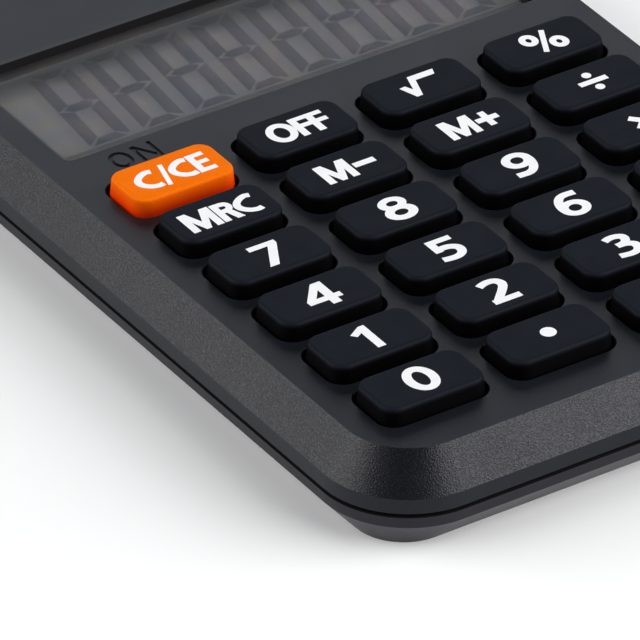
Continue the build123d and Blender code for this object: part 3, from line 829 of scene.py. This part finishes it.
def dress_inside():
    """The hidden parts. A row holds nodes, two tones, roughness, grains in a mm, relief in mm, metallic."""
    glass = clear_sheet("display_glass", (0.80, 0.80, 0.83), (0.83, 0.82, 0.82), 0.2, 0.10, 0.1)
    dress(["display_front_glass"], glass)
    dress(["display_rear_glass", "display_reflector"], reflector_film())
    dress(["solar_cell"], solar_silicon())
    dress(["circuit_board"], board_laminate())
    dress(["zebra_connector"], striped_rubber())
    for names, low, high, rough, per_mm, depth_mm, metallic in (
        (["key_mat"], (0.52, 0.52, 0.50), (0.60, 0.60, 0.57), 0.55, 2.0, 0.01, 0.0),
        (["carbon_pills"], (0.02, 0.02, 0.02), (0.04, 0.04, 0.04), 0.6, 5.0, 0.01, 0.0),
        (["controller"], (0.012, 0.012, 0.013), (0.02, 0.02, 0.02), 0.25, 0.8, 0.04, 0.0),
        (["board_capacitors"], (0.42, 0.30, 0.18), (0.55, 0.42, 0.27), 0.45, 6.0, 0.005, 0.0),
        (["board_resistors"], (0.02, 0.02, 0.025), (0.05, 0.05, 0.06), 0.4, 6.0, 0.005, 0.0),
        (["display_foam", "solar_foam"], (0.03, 0.03, 0.03), (0.10, 0.10, 0.10), 0.9, 4.0, 0.08, 0.0),
        (["button_cell"], (0.50, 0.50, 0.49), (0.62, 0.62, 0.60), 0.28, 3.0, 0.004, 1.0),
        (["battery_contact_negative", "battery_contact_positive"],
         (0.50, 0.47, 0.38), (0.62, 0.58, 0.48), 0.3, 4.0, 0.004, 1.0),
        (["case_screws", "board_screws"],
         (0.16, 0.16, 0.17), (0.30, 0.30, 0.31), 0.35, 5.0, 0.01, 1.0),
        (["battery_lead_negative", "solar_lead_negative"],
         (0.015, 0.015, 0.015), (0.03, 0.03, 0.03), 0.5, 3.0, 0.01, 0.0),
        (["battery_lead_positive", "solar_lead_positive"],
         (0.42, 0.02, 0.015), (0.55, 0.04, 0.03), 0.5, 3.0, 0.01, 0.0),
    ):
        finish = moulded(f"finish_{names[0]}", low, high, rough, per_mm, depth_mm, metallic)
        dress(names, finish)


# ---------------------------------------------------------------- room


def softbox(name, position, target, size, watts, colour=(1.0, 1.0, 1.0)):
    """A rectangular lamp, in millimetres, that faces its target."""
    light = bpy.data.lights.new(name, "AREA")
    light.shape = "RECTANGLE"
    light.size = size[0] * MM
    light.size_y = size[1] * MM
    light.energy = watts
    light.color = colour
    lamp = add_object(name, light)
    lamp.location = Vector(position) * MM
    aim = (Vector(target) - Vector(position)).to_track_quat("-Z", "Y")
    lamp.rotation_euler = aim.to_euler()
    lamp.visible_camera = False


def make_floor():
    """A pale floor round the part, which fades into the white world where the lamps don't reach."""
    f = Finish("pale_floor", specular=0.2)
    cloud = f.noise(0.02, 2.0, 0.5)
    f.set("Base Color", f.blend(f.span(cloud, 0.3, 0.7), (0.95, 0.95, 0.95), (0.97, 0.97, 0.97)))
    f.set("Roughness", f.span(cloud, 0.3, 0.7, 0.75, 0.85))
    x, y = f.along("X"), f.along("Y")
    squares = f.calculate("ADD", f.calculate("MULTIPLY", x, x), f.calculate("MULTIPLY", y, y))
    away = f.calculate("SQRT", squares)
    f.set("Alpha", f.span(away, FLOOR_FADE[0] * MM, FLOOR_FADE[1] * MM, 1.0, 0.0))
    mesh = bpy.data.meshes.new("floor")
    half = FLOOR_HALF * MM
    corners = [(-half, -half, 0), (half, -half, 0), (half, half, 0), (-half, half, 0)]
    mesh.from_pydata(corners, [], [(0, 1, 2, 3)])
    mesh.materials.append(f.material)
    add_object("floor", mesh)


def make_world():
    """White where the camera sees it, and dim as a light."""
    world = bpy.data.worlds.new("studio")
    world.use_nodes = True
    bpy.context.scene.world = world
    nodes, links = world.node_tree.nodes, world.node_tree.links
    dim = nodes["Background"]
    dim.inputs["Color"].default_value = (0.80, 0.90, 1.0, 1.0)
    dim.inputs["Strength"].default_value = 0.04
    white = nodes.new("ShaderNodeBackground")
    white.inputs["Color"].default_value = (1.0, 1.0, 1.0, 1.0)
    path = nodes.new("ShaderNodeLightPath")
    mix = nodes.new("ShaderNodeMixShader")
    links.new(path.outputs["Is Camera Ray"], mix.inputs[0])
    links.new(dim.outputs[0], mix.inputs[1])
    links.new(white.outputs[0], mix.inputs[2])
    links.new(mix.outputs[0], nodes["World Output"].inputs["Surface"])


def make_lights():
    middle = (0, 0, 5)
    softbox("left_softbox", (-495, 225, 260), middle, (600, 500), 3.9)
    softbox("front_softbox", (375, -420, 300), middle, (720, 540), 6.3)
    softbox("top_softbox", (60, 160, 700), middle, (500, 500), 0.45)
    softbox("back_softbox", (150, 260, 130), middle, (260, 200), 0.20, (0.90, 0.95, 1.0))


def make_camera():
    """The photo's view: a long lens, from in front and to the left, a third of the way up."""
    target = Vector((-21.054, -24.492, 9.45)) * MM
    azimuth, elevation, distance = -33.265 * pi / 180, 33.311 * pi / 180, 0.889245
    back = Vector((
        sin(azimuth) * cos(elevation),
        -cos(azimuth) * cos(elevation),
        sin(elevation),
    ))
    data = bpy.data.cameras.new("camera")
    data.sensor_width = 36.0
    data.lens = 569.23
    data.clip_start = 0.01
    camera = add_object("camera", data)
    camera.location = target + back * distance
    camera.rotation_euler = back.to_track_quat("Z", "Y").to_euler()
    bpy.context.scene.camera = camera


# ---------------------------------------------------------------- the scene


bpy.context.scene.view_settings.view_transform = "Standard"
make_camera()
dress_case()
dress_inside()
flexible_mat()
print_legends(ink("legend_ink", (0.88, 0.89, 0.91)))
print_display()
make_floor()
make_world()
make_lights()
